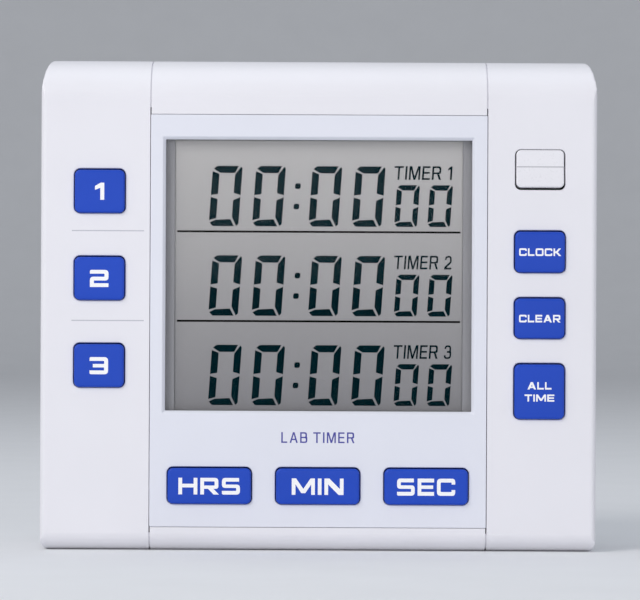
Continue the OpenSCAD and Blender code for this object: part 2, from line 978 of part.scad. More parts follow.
module stand() {
    outer_y = stand_y + stand_t;
    color(white) {
        difference() {
            block(0, (stand_foot_z + stand_hinge_z) / 2, back_w, stand_l, stand_y, outer_y);
            // Hollow back, with ribs left standing
            for (sx = [-1, 0, 1])
                block(sx * (back_w - stand_rib_w) / 3, (stand_foot_z + stand_hinge_z) / 2 - 1,
                      (back_w - 4 * stand_rib_w) / 3, stand_l - 8, stand_y - 1, stand_y + stand_hollow_d);
        }
        rod_x(stand_hinge_y, stand_hinge_z, stand_barrel_r, -back_w / 2, back_w / 2);
        rod_x(stand_hinge_y, stand_hinge_z, stand_pin_r, -back_w / 2 - stand_pin_l, back_w / 2 + stand_pin_l);
        block(0, stand_hinge_z + stand_heel / 2, back_w, stand_heel, stand_hinge_y - stand_heel_t / 2,
              stand_hinge_y + stand_heel_t / 2);
    }
}

module magnet(side) {
    color([0.15, 0.15, 0.16])
        disc_y(side * magnet_x, magnet_z, magnet_r, magnet_pocket_y, magnet_pocket_y + magnet_t);
}

// ---- The parts ----

front_shell();
rear_shell();
front_panel();
display_window();
lcd_frame();
lcd_front_glass();
lcd_rear_glass();
front_polariser();
rear_reflector();
elastomer_strip(1);  // elastomer_strip_top
elastomer_strip(-1);  // elastomer_strip_bottom
main_board();
board_screws();
timer_chip();
crystal();
board_parts();
keypad_mat_left();
keypad_mat_right();
keypad_mat_bottom();
carbon_contacts();
switch_base();
switch_rocker();
key_cap(0);  // key_1
key_cap(1);  // key_2
key_cap(2);  // key_3
key_cap(3);  // key_clock
key_cap(4);  // key_clear
key_cap(5);  // key_all_time
key_cap(6);  // key_hrs
key_cap(7);  // key_min
key_cap(8);  // key_sec
buzzer_disc();
buzzer_ceramic();
buzzer_leads();
battery_lower();
battery_upper();
contact_negative();
contact_positive();
contact_bridge();
battery_leads();
battery_door();
stand();
magnet(-1);  // magnet_left
magnet(1);  // magnet_right
case_screws();
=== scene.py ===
"""Looks of the lab timer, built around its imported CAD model. Metres, +Z up, -Y out of the display."""
import bpy
import bmesh
import math
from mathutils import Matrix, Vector
from mathutils.bvhtree import BVHTree
from mathutils.kdtree import KDTree


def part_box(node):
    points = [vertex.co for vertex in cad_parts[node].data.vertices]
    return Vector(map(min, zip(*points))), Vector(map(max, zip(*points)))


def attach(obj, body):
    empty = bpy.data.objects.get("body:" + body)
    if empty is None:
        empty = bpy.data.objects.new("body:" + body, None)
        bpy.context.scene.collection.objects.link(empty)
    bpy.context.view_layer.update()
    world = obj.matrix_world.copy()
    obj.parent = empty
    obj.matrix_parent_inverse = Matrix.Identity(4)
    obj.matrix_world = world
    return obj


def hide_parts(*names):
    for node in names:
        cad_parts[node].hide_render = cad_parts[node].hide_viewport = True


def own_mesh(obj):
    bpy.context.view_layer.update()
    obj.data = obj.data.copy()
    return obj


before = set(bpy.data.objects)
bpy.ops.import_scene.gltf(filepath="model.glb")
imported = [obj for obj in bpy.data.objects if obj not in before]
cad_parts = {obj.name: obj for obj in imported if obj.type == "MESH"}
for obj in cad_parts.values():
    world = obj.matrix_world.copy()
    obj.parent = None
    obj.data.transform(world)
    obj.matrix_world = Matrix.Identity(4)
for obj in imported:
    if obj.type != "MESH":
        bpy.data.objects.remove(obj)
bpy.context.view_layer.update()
MM = 0.001
KEYS = ["key_1", "key_2", "key_3", "key_clock", "key_clear", "key_all_time",
        "key_hrs", "key_min", "key_sec"]

# ---- Places worked out from the frame ----

CASE_LOW, CASE_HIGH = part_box("front_shell")
PANEL_LOW, PANEL_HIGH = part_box("front_panel")
WINDOW_LOW, WINDOW_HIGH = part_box("display_window")
FILM_LOW, FILM_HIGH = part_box("front_polariser")
FACE_Y = PANEL_LOW[1]
FILM_Y = FILM_LOW[1]
MID_X = (CASE_LOW[0] + CASE_HIGH[0]) / 2
MID_Z = (CASE_LOW[2] + CASE_HIGH[2]) / 2
DISPLAY_Z = (WINDOW_LOW[2] + WINDOW_HIGH[2]) / 2


# ---- Mesh helpers ----

WELD = 0.002 * MM
FLAT_DEG = 0.05
SHARP_DEG = 35
SKIN_SHARP_DEG = 48
CREASE_DEG = 16


def add_object(name, data):
    obj = bpy.data.objects.new(name, data)
    bpy.context.scene.collection.objects.link(obj)
    return obj


def mesh_object(name, verts, faces):
    mesh = bpy.data.meshes.new(name)
    mesh.from_pydata([tuple(v) for v in verts], [], faces)
    mesh.validate()
    obj = add_object(name, mesh)
    tidy_normals(obj)
    return obj


def mark_sharp(bm, degrees):
    """Smooth faces, with a shading break along every edge that turns more than this."""
    for face in bm.faces:
        face.smooth = True
    for edge in bm.edges:
        edge.smooth = len(edge.link_faces) == 2 and edge.calc_face_angle(0) < math.radians(degrees)


def tidy_normals(obj):
    bm = bmesh.new()
    bm.from_mesh(obj.data)
    bmesh.ops.recalc_face_normals(bm, faces=bm.faces)
    mark_sharp(bm, SHARP_DEG)
    bm.to_mesh(obj.data)
    bm.free()


def loft(name, rings):
    """Joins closed rings of the same length, and closes both ends with a flat face."""
    count = len(rings[0])
    verts = [p for ring in rings for p in ring]
    faces = [tuple(range(count))]
    for i in range(len(rings) - 1):
        for k in range(count):
            n = (k + 1) % count
            faces.append((i * count + k, i * count + n, (i + 1) * count + n, (i + 1) * count + k))
    faces.append(tuple(range((len(rings) - 1) * count, len(rings) * count)))
    return mesh_object(name, verts, faces)


def turned(name, x, z, profile, sides=40):
    """A closed shape turned about an axis along Y; the profile is a list of (radius, y)."""
    angles = [math.tau * i / sides for i in range(sides)]
    return loft(name, [[(x + r * math.cos(a), y, z + r * math.sin(a)) for a in angles]
                       for r, y in profile])


def round_rect(w, h, r, parts=8):
    """Points of a rectangle with round corners, about its middle."""
    r = max(min(r, w / 2 - 1e-5, h / 2 - 1e-5), 1e-5)
    points = []
    for quarter, (sx, sz) in enumerate([(1, 1), (-1, 1), (-1, -1), (1, -1)]):
        for i in range(parts + 1):
            a = math.radians(90 * (quarter + i / parts))
            points.append((sx * (w / 2 - r) + r * math.cos(a), sz * (h / 2 - r) + r * math.sin(a)))
    return points


def cut_planes(bm, axis, places):
    """Cuts the mesh across one axis at each place."""
    normal = [1 if i == axis else 0 for i in range(3)]
    for place in places:
        point = [place if i == axis else 0 for i in range(3)]
        geometry = bm.verts[:] + bm.edges[:] + bm.faces[:]
        bmesh.ops.bisect_plane(bm, geom=geometry, dist=WELD / 2, plane_co=point, plane_no=normal)


def steps(start, end, count):
    return [start + (end - start) * i / count for i in range(count + 1)]


def soften(bm, inside, reach, passes):
    """Rounds the creases of a region by smoothing what lies within reach of them."""
    crease = {v for e in bm.edges
              if len(e.link_faces) == 2 and e.calc_face_angle(0) > math.radians(CREASE_DEG)
              and all(inside(v.co) for v in e.verts) for v in e.verts}
    tree = KDTree(len(crease))
    for i, vertex in enumerate(crease):
        tree.insert(vertex.co, i)
    tree.balance()
    near = [v for v in bm.verts if inside(v.co) and tree.find(v.co)[2] < reach]
    for _ in range(passes):
        bmesh.ops.smooth_vert(bm, verts=near, factor=0.5,
                              use_axis_x=True, use_axis_y=True, use_axis_z=True)


def skin(node, material, width, body="root", rule=None, shape=None, sharp_deg=28):
    """A copy of a CAD node with its sharp edges rounded.

    rule(middle) gives the share of the width that an edge with this middle gets.
    """
    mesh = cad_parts[node].data.copy()
    mesh.name = node + "_skin"
    obj = add_object(node + "_skin", mesh)
    mesh.materials.clear()
    mesh.materials.append(material)
    bm = bmesh.new()
    bm.from_mesh(mesh)
    bmesh.ops.remove_doubles(bm, verts=bm.verts, dist=WELD)
    bmesh.ops.dissolve_limit(bm, angle_limit=math.radians(FLAT_DEG), verts=bm.verts, edges=bm.edges)
    bmesh.ops.recalc_face_normals(bm, faces=bm.faces)
    if shape:
        shape(bm)
    layers = bm.edges.layers.float
    weight = layers.get("bevel_weight_edge") or layers.new("bevel_weight_edge")
    for edge in bm.edges:
        if len(edge.link_faces) == 2 and edge.calc_face_angle(0) > math.radians(sharp_deg):
            middle = (edge.verts[0].co + edge.verts[1].co) / 2
            edge[weight] = rule(middle) if rule else 1.0
    for face in bm.faces:
        face.material_index = 0
    mark_sharp(bm, SKIN_SHARP_DEG)
    bm.to_mesh(mesh)
    bm.free()
    bevel = obj.modifiers.new("round_edges", "BEVEL")
    bevel.width = width
    bevel.segments = 3
    bevel.limit_method = "WEIGHT"
    bevel.use_clamp_overlap = False
    bevel.miter_outer = "MITER_ARC"
    evening = obj.modifiers.new("even_shading", "WEIGHTED_NORMAL")
    evening.keep_sharp = True
    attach(obj, body)
    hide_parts(node)
    return obj


# ---- Material helpers ----

def new_material(name):
    material = bpy.data.materials.new(name)
    material.use_nodes = True
    tree = material.node_tree
    shader = tree.nodes["Principled BSDF"]
    where = tree.nodes.new("ShaderNodeTexCoord")
    return material, tree, shader, where


def noise(tree, where, scale, detail, roughness=0.5):
    node = tree.nodes.new("ShaderNodeTexNoise")
    node.inputs["Scale"].default_value = scale
    node.inputs["Detail"].default_value = detail
    node.inputs["Roughness"].default_value = roughness
    tree.links.new(where.outputs["Object"], node.inputs["Vector"])
    return node.outputs["Fac"]


def remap(tree, value, low, high, from_low=0.3, from_high=0.7):
    node = tree.nodes.new("ShaderNodeMapRange")
    node.inputs["From Min"].default_value = from_low
    node.inputs["From Max"].default_value = from_high
    node.inputs["To Min"].default_value = low
    node.inputs["To Max"].default_value = high
    tree.links.new(value, node.inputs["Value"])
    return node.outputs["Result"]


def blend_colors(tree, factor, first, second):
    node = tree.nodes.new("ShaderNodeMix")
    node.data_type = "RGBA"
    node.inputs[6].default_value = (*first, 1)
    node.inputs[7].default_value = (*second, 1)
    tree.links.new(factor, node.inputs[0])
    return node.outputs[2]


def bump(tree, shader, height, strength, distance):
    node = tree.nodes.new("ShaderNodeBump")
    node.inputs["Strength"].default_value = strength
    node.inputs["Distance"].default_value = distance
    tree.links.new(height, node.inputs["Height"])
    tree.links.new(node.outputs["Normal"], shader.inputs["Normal"])


def shade(color, factor):
    return tuple(min(1.0, c * factor) for c in color)


def moulded(name, color, rough=0.4, grain=2600, grain_height=0.006 * MM, mottle=0.03,
            coat=0.0, specular=0.5):
    """Moulded plastic or rubber: a fine spark-eroded grain, and slight changes of tone and gloss."""
    material, tree, shader, where = new_material(name)
    broad = noise(tree, where, 45, 2)
    fine = noise(tree, where, grain, 4, 0.6)
    tone = remap(tree, broad, 0, 1)
    tree.links.new(blend_colors(tree, tone, shade(color, 1 - mottle), shade(color, 1 + mottle)),
                   shader.inputs["Base Color"])
    tree.links.new(remap(tree, fine, rough - 0.06, rough + 0.06), shader.inputs["Roughness"])
    shader.inputs["Specular IOR Level"].default_value = specular
    shader.inputs["Coat Weight"].default_value = coat
    shader.inputs["Coat Roughness"].default_value = 0.25
    bump(tree, shader, fine, 0.35, grain_height)
    return material


def metal(name, color, stretch, rough=0.3):
    """Drawn or stamped metal, with fine scratches; stretch is how fine they are along each axis."""
    material, tree, shader, where = new_material(name)
    mapping = tree.nodes.new("ShaderNodeMapping")
    mapping.inputs["Scale"].default_value = stretch
    tree.links.new(where.outputs["Object"], mapping.inputs["Vector"])
    lines = tree.nodes.new("ShaderNodeTexNoise")
    lines.inputs["Scale"].default_value = 3000
    lines.inputs["Detail"].default_value = 3
    tree.links.new(mapping.outputs["Vector"], lines.inputs["Vector"])
    fac = lines.outputs["Fac"]
    tree.links.new(blend_colors(tree, fac, shade(color, 0.85), shade(color, 1.1)),
                   shader.inputs["Base Color"])
    tree.links.new(remap(tree, fac, rough - 0.08, rough + 0.1), shader.inputs["Roughness"])
    shader.inputs["Metallic"].default_value = 1.0
    bump(tree, shader, fac, 0.3, 0.004 * MM)
    return material


def clear_sheet(name, gloss):
    """A flat clear sheet: light goes straight through, with a faint reflection."""
    material, tree, shader, where = new_material(name)
    tree.nodes.remove(shader)
    through = tree.nodes.new("ShaderNodeBsdfTransparent")
    through.inputs["Color"].default_value = (1, 1, 1, 1)
    shine = tree.nodes.new("ShaderNodeBsdfGlossy")
    fine = noise(tree, where, 900, 2)
    tree.links.new(remap(tree, fine, 0.04, 0.08), shine.inputs["Roughness"])
    wave = tree.nodes.new("ShaderNodeBump")
    wave.inputs["Strength"].default_value = 0.1
    wave.inputs["Distance"].default_value = 0.002 * MM
    tree.links.new(fine, wave.inputs["Height"])
    tree.links.new(wave.outputs["Normal"], shine.inputs["Normal"])
    mix = tree.nodes.new("ShaderNodeMixShader")
    mix.inputs[0].default_value = gloss
    tree.links.new(through.outputs["BSDF"], mix.inputs[1])
    tree.links.new(shine.outputs["BSDF"], mix.inputs[2])
    output = next(n for n in tree.nodes if n.type == "OUTPUT_MATERIAL")
    tree.links.new(mix.outputs["Shader"], output.inputs["Surface"])
    return material


def display_film_with_painted_shade(name, top, bottom):
    """The grey reflective display, with painted shade that darkens it towards its lower edge."""
    material, tree, shader, where = new_material(name)
    split = tree.nodes.new("ShaderNodeSeparateXYZ")
    tree.links.new(where.outputs["Object"], split.inputs["Vector"])
    rise = remap(tree, split.outputs["Z"], 0, 1, FILM_LOW[2], FILM_HIGH[2])
    color = blend_colors(tree, rise, bottom, top)
    tree.links.new(color, shader.inputs["Base Color"])
    fine = noise(tree, where, 5000, 2)
    tree.links.new(remap(tree, fine, 0.45, 0.6), shader.inputs["Roughness"])
    shader.inputs["Specular IOR Level"].default_value = 0.3
    bump(tree, shader, fine, 0.2, 0.003 * MM)
    return material


WHITE = moulded("case_white", (0.80, 0.795, 0.835), rough=0.42, mottle=0.012)
PANEL = moulded("panel_white", (0.755, 0.77, 0.84), rough=0.45, mottle=0.012)
ROCKER = moulded("rocker_white", (0.80, 0.795, 0.83), rough=0.3, grain=1800, mottle=0.01)
BLUE = moulded("key_blue", (0.008, 0.060, 0.49), rough=0.42, grain=3200, mottle=0.05, specular=0.28)
LEGEND = moulded("legend_white", (0.94, 0.94, 0.95), rough=0.5, grain=5000, mottle=0.01)
INK_DARK = moulded("ink_dark", (0.0, 0.010, 0.014), rough=0.5, grain=5000, mottle=0.05,
                   specular=0)
INK_BLACK = moulded("ink_black", (0.001, 0.001, 0.001), rough=0.5, grain=5000, mottle=0.05,
                    specular=0)
INK_BLUE = moulded("ink_blue", (0.05, 0.05, 0.32), rough=0.5, grain=5000, mottle=0.05)
# Grey of a painted shadow line along the rocker's crease, not a colour of the part.
CREASE_SHADOW_PAINT = moulded("painted_crease_shadow", (0.5, 0.5, 0.53), rough=0.6, grain=5000, mottle=0.03)
INK_GREY = moulded("ink_grey", (0.48, 0.48, 0.54), rough=0.5, grain=5000, mottle=0.03)
BEZEL = moulded("lcd_grey", (0.28, 0.28, 0.295), rough=0.6, grain=2000)
# The display's fade from light at the top to dark at the bottom is painted shade, not a tint of the
# film.
FILM = display_film_with_painted_shade("polariser_film", (0.455, 0.447, 0.440), (0.215, 0.213, 0.222))
REFLECTOR = moulded("reflector_film", (0.6, 0.6, 0.6), rough=0.3, grain=4000)
CLEAR = clear_sheet("window_clear", gloss=0.004)
GLASS = moulded("lcd_glass", (0.35, 0.37, 0.37), rough=0.12, grain=4000, grain_height=0.001 * MM)
PINK = moulded("elastomer_pink", (0.75, 0.25, 0.3), rough=0.7, grain=1500)
BOARD = moulded("board_green", (0.01, 0.11, 0.04), rough=0.35, grain=1200, mottle=0.15, coat=0.3)
STEEL = metal("steel", (0.55, 0.56, 0.58), stretch=(1, 8, 1))
CONTACT = metal("contact_plate", (0.6, 0.6, 0.6), rough=0.25, stretch=(1, 1, 8))
BRASS = metal("brass", (0.72, 0.5, 0.2), stretch=(6, 1, 1))
CHIP = moulded("chip_black", (0.01, 0.01, 0.012), rough=0.15, grain=800)
PARTS = moulded("parts_tan", (0.3, 0.2, 0.1), rough=0.6, grain=2500)
MAT = moulded("mat_rubber", (0.5, 0.5, 0.52), rough=0.7, grain=1800)
CARBON = moulded("carbon_black", (0.01, 0.01, 0.01), rough=0.8, grain=2500)
BRACKET = moulded("bracket_black", (0.015, 0.015, 0.017), rough=0.5)
CERAMIC = moulded("piezo_ceramic", (0.7, 0.68, 0.6), rough=0.6, grain=1500)
LEAD_RED = moulded("lead_red", (0.45, 0.01, 0.01), rough=0.4)
LEAD_BLACK = moulded("lead_black", (0.01, 0.01, 0.01), rough=0.4)
CELL = metal("cell_jacket", (0.05, 0.05, 0.06), rough=0.3, stretch=(8, 1, 1))
FERRITE = moulded("ferrite", (0.02, 0.02, 0.022), rough=0.5, grain=900, grain_height=0.02 * MM,
                  mottle=0.2)

NODE_MATERIALS = {
    "display_window": CLEAR, "lcd_frame": BEZEL, "lcd_front_glass": GLASS, "lcd_rear_glass": GLASS,
    "front_polariser": FILM, "rear_reflector": REFLECTOR, "elastomer_strip_top": PINK,
    "elastomer_strip_bottom": PINK, "main_board": BOARD, "board_screws": STEEL, "timer_chip": CHIP,
    "crystal": STEEL, "board_parts": PARTS, "keypad_mat_left": MAT, "keypad_mat_right": MAT,
    "keypad_mat_bottom": MAT, "carbon_contacts": CARBON, "switch_base": BRACKET,
    "buzzer_disc": BRASS, "buzzer_ceramic": CERAMIC, "buzzer_leads": LEAD_RED,
    "battery_leads": LEAD_BLACK, "battery_lower": CELL, "battery_upper": CELL,
    "contact_negative": CONTACT, "contact_positive": CONTACT, "contact_bridge": CONTACT,
}


def paint_frame():
    for node, material in NODE_MATERIALS.items():
        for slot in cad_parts[node].material_slots:
            slot.link = "OBJECT"
            slot.material = material


# ---- Case ----

TOP_ROLL_H = 8.6 * MM
TOP_ROLL_D = 11.4 * MM
TOP_CORNER_W = 4.5 * MM
CORNER_MARGIN = 0.8 * MM
CORNER_SOFT = 0.9 * MM
CORNER_PASSES = 6
CUT_DEPTH = 12 * MM
CUT_BELOW = 1.8 * MM
CUTS_ACROSS = 13
CUTS = 20
FACE_BAND = 0.6 * MM
SEAM_W = 0.6 * MM
FINE_LIP = 0.3
SIDE_ROLL = 3 * MM
TOP_ROLL = 9 * MM
FOOT_ROLL = 4 * MM
REAR_ROLL = 4 * MM


def front_corners(co):
    """True in the two upper corners of the front, where the roll meets the sides."""
    return (abs(co.x) > CASE_HIGH[0] - TOP_CORNER_W
            and co.z > CASE_HIGH[2] - TOP_ROLL_H - CORNER_MARGIN and co.y < FACE_Y + TOP_ROLL_D)


def shape_front(bm):
    """Rounds the crease between the roll and each side.

    The cuts make a fine mesh first, and reach past the region that is smoothed.
    """
    across = steps(0.3 * MM, TOP_CORNER_W + CORNER_MARGIN, CUTS_ACROSS)
    for side in (-1, 1):
        cut_planes(bm, 0, [side * (CASE_HIGH[0] - inward) for inward in across])
    cut_planes(bm, 1, steps(FACE_Y + 0.4 * MM, FACE_Y + CUT_DEPTH, CUTS))
    cut_planes(bm, 2, steps(CASE_HIGH[2] - TOP_ROLL_H - CUT_BELOW, CASE_HIGH[2] - 0.4 * MM, CUTS))
    soften(bm, front_corners, CORNER_SOFT, CORNER_PASSES)


def front_rule(middle):
    """Openings in the wings get a soft lip, edges round the panel a fine one, all others none."""
    inside = middle.y > FACE_Y + FACE_BAND
    outer_roll = (abs(middle.x) > CASE_HIGH[0] - SIDE_ROLL or middle.z > CASE_HIGH[2] - TOP_ROLL
                  or middle.z < FOOT_ROLL)
    if inside or outer_roll:
        return 0
    return FINE_LIP if abs(middle.x) < PANEL_HIGH[0] + SEAM_W else 1.0


def rear_rule(middle):
    """Leaves the outer rolls alone, and rounds the pockets, holes and pins."""
    outer_roll = (abs(middle.x) > CASE_HIGH[0] - REAR_ROLL or middle.z > CASE_HIGH[2] - REAR_ROLL
                  or middle.z < REAR_ROLL)
    return 0 if outer_roll else 1.0


def build_case():
    skin("front_shell", WHITE, 0.2 * MM, rule=front_rule, shape=shape_front)
    skin("rear_shell", WHITE, 0.2 * MM, rule=rear_rule)
    skin("battery_door", WHITE, 0.15 * MM, "battery_door")
    skin("stand", WHITE, 0.25 * MM, "stand")
    skin("front_panel", PANEL, 0.15 * MM)
    skin("switch_rocker", ROCKER, 0.3 * MM, "switch_rocker", sharp_deg=40)
    for side in ("left", "right"):
        skin("magnet_" + side, FERRITE, 0.3 * MM)
    skin("case_screws", STEEL, 0.12 * MM)


# ---- Keys ----

EDGE_R = 0.45 * MM
CROWN = 0.07 * MM
CROWN_REACH = 2.2 * MM
FLANGE = 0.8 * MM
FLANGE_DEPTH = 2.3 * MM
FLANGE_T = 0.8 * MM
KEY_WALL = 1 * MM
CORNER_R = 1.1 * MM
CORNER_R_LEAST = 0.25 * MM
STEM_R = 1.8 * MM
STEM_EDGE = 0.2 * MM
STEM_OVERLAP = 0.1 * MM
INNERMOST = 0.4 * MM
FLAT_RINGS = 7
EDGE_RINGS = 8


def key_drop(inward):
    """How far a key's face lies behind its front at a distance in from its outline."""
    drop = 0.0
    if inward < EDGE_R:
        drop += EDGE_R - math.sqrt(max(EDGE_R ** 2 - (EDGE_R - inward) ** 2, 0))
    if inward < CROWN_REACH:
        drop += CROWN * (1 - inward / CROWN_REACH) ** 2
    return drop


def key_shape(node):
    """(middle x, middle z, width, height, front y, back y) of a key's cap without its flange."""
    low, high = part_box(node)
    return ((low[0] + high[0]) / 2, (low[2] + high[2]) / 2, high[0] - low[0] - 2 * FLANGE,
            high[2] - low[2] - 2 * FLANGE, low[1], high[1])


def build_key(node):
    """A cap, lofted from the middle of its face over the edge and flange, and a stem behind it."""
    x, z, w, h, front, back = key_shape(node)

    def ring(inward, y, r=CORNER_R):
        return [(x + px, y, z + pz) for px, pz in
                round_rect(w - 2 * inward, h - 2 * inward, max(r - inward, CORNER_R_LEAST))]

    reach = min(w, h) / 2 - INNERMOST
    flat = [reach - i * (reach - EDGE_R) / FLAT_RINGS for i in range(FLAT_RINGS)]
    edge = [EDGE_R * (1 - math.sin(math.radians(90 / EDGE_RINGS * i)))
            for i in range(EDGE_RINGS + 1)]
    rings = [ring(d, front + key_drop(d)) for d in flat + edge]
    flange_y = FACE_Y + FLANGE_DEPTH
    rim_y = flange_y + FLANGE_T
    rings.append(ring(0, flange_y))
    rings.append(ring(-FLANGE, flange_y, CORNER_R - FLANGE))
    rings.append(ring(-FLANGE, rim_y, CORNER_R - FLANGE))
    rings.append(ring(KEY_WALL, rim_y))
    rings.append(ring(KEY_WALL, front + KEY_WALL))
    cap = loft(node + "_cap", rings)
    cap.data.materials.append(BLUE)
    stem = turned(node + "_stem", x, z, [
        (STEM_R, front + KEY_WALL - STEM_OVERLAP), (STEM_R, back - STEM_EDGE),
        (STEM_R - STEM_EDGE, back)], sides=32)
    stem.data.materials.append(BLUE)
    for piece in (cap, stem):
        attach(piece, node)
    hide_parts(node)


# ---- Rubber mats ----

DOME_BASE_R = 3 * MM
DOME_TOP_R = 2 * MM
DOME_SKIN = 0.7 * MM
DOME_H = 1.6 * MM
MAT_T = 0.8 * MM
MAT_EDGE = 0.15 * MM
MAT_CORNER_R = 1 * MM


def build_mat(side, keys):
    """A rubber sheet, and over it a dome for each key."""
    node = "keypad_mat_" + side
    low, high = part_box(node)
    x, z = (low[0] + high[0]) / 2, (low[2] + high[2]) / 2
    w, h = high[0] - low[0], high[2] - low[2]
    front = high[1] - MAT_T

    def ring(inward, y):
        return [(x + px, y, z + pz) for px, pz in
                round_rect(w - 2 * inward, h - 2 * inward, MAT_CORNER_R)]

    sheet = loft(node + "_sheet", [ring(MAT_EDGE, front), ring(0, front + MAT_EDGE),
                                   ring(0, high[1])])
    pieces = [sheet]
    for key in keys:
        key_low, key_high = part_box(key)
        kx, kz = (key_low[0] + key_high[0]) / 2, (key_low[2] + key_high[2]) / 2
        top = front - DOME_H
        dome = turned(key + "_dome", kx, kz, [
            (DOME_TOP_R - DOME_SKIN, top + DOME_SKIN), (DOME_BASE_R - DOME_SKIN, front),
            (DOME_BASE_R, front), (DOME_BASE_R - 0.25 * MM, front - 0.35 * MM),
            (DOME_TOP_R + 0.15 * MM, top + 0.3 * MM), (DOME_TOP_R, top + 0.08 * MM),
            (DOME_TOP_R - 0.15 * MM, top)])
        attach(dome, "root")
        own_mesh(dome)
        pieces.append(dome)
    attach(sheet, "root")
    for piece in pieces:
        piece.data.materials.append(MAT)
    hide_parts(node)


# ---- Lettering ----

# Each glyph: its width and its outlines in units of its height; a third number rounds that corner.
# V and B are the widths of the bold letters' upright and level strokes, THIN that of the thin ones.
V = 0.24
B = 0.22
THIN = 0.15
GLYPHS = {
    "H": (1.22, [[(0, 0), (V, 0), (V, .42), (.98, .42), (.98, 0), (1.22, 0), (1.22, 1), (.98, 1),
                  (.98, .64), (V, .64), (V, 1), (0, 1)]]),
    "I": (V, [[(0, 0), (V, 0), (V, 1), (0, 1)]]),
    "L": (1.02, [[(0, 0), (1.02, 0), (1.02, B), (V, B), (V, 1), (0, 1)]]),
    "T": (1.14, [[(.45, 0), (.69, 0), (.69, .78), (1.14, .78), (1.14, 1), (0, 1), (0, .78),
                  (.45, .78)]]),
    "E": (1.08, [[(0, 0), (1.08, 0), (1.08, B), (V, B), (V, .4), (1.02, .4), (1.02, .6), (V, .6),
                  (V, .78), (1.08, .78), (1.08, 1), (0, 1)]]),
    "O": (1.24, [[(0, 0, .24), (1.24, 0, .24), (1.24, 1, .24), (0, 1, .24)],
                 [(V, B, .06), (1, B, .06), (1, .78, .06), (V, .78, .06)]]),
    "C": (1.2, [[(0, 0, .24), (1.2, 0, .2), (1.2, .34), (.96, .34), (.96, B, .03), (V, B, .06),
                 (V, .78, .06), (.96, .78, .03), (.96, .66), (1.2, .66), (1.2, 1, .2), (0, 1, .24)]]),
    "S": (1.16, [[(0, 0, .1), (1.16, 0, .22), (1.16, .6, .2), (V, .6, .04), (V, .78, .04), (1.1, .78),
                  (1.1, 1), (0, 1, .22), (0, .4, .2), (.92, .4, .04), (.92, B, .04), (0, B)]]),
    "R": (1.2, [[(0, 0), (V, 0), (V, .34), (.5, .34), (.85, 0), (1.2, 0), (.84, .34),
                 (1.16, .34, .16), (1.16, 1, .22), (0, 1)],
                [(V, .54), (.92, .54, .05), (.92, .79, .05), (V, .79)]]),
    "A": (1.34, [[(0, 0), (.3, 0), (.42, .2), (.92, .2), (1.04, 0), (1.34, 0), (.84, 1, .04),
                  (.5, 1, .04)],
                 [(.54, .39), (.8, .39), (.67, .66)]]),
    "K": (1.2, [[(0, 0), (V, 0), (V, .38), (.42, .38), (.86, 0), (1.22, 0), (.66, .5), (1.18, 1),
                 (.82, 1), (.42, .62), (V, .62), (V, 1), (0, 1)]]),
    "M": (1.5, [[(0, 0), (V, 0), (V, .64), (.62, .1), (.88, .1), (1.26, .64), (1.26, 0), (1.5, 0),
                 (1.5, 1), (1.22, 1), (.75, .36), (.28, 1), (0, 1)]]),
    "N": (1.24, [[(0, 0), (V, 0), (V, .64), (.92, 0), (1.24, 0), (1.24, 1), (1, 1), (1, .36),
                  (.32, 1), (0, 1)]]),
    "1": (.66, [[(.38, 0), (.66, 0), (.66, 1), (.4, 1), (0, .8), (0, .58), (.38, .7)]]),
    "2": (1.12, [[(0, 0), (1.12, 0), (1.12, B), (V, B), (V, .38, .04), (1.12, .38, .2),
                  (1.12, 1, .22), (0, 1, .1), (0, .78), (.88, .78, .04), (.88, .6, .04),
                  (0, .6, .2)]]),
    "3": (1.12, [[(0, 0, .1), (1.12, 0, .22), (1.12, 1, .22), (0, 1, .1), (0, .78), (.88, .78, .04),
                  (.88, .6, .04), (.2, .6), (.2, .4), (.88, .4, .04), (.88, B, .04), (0, B)]]),
}
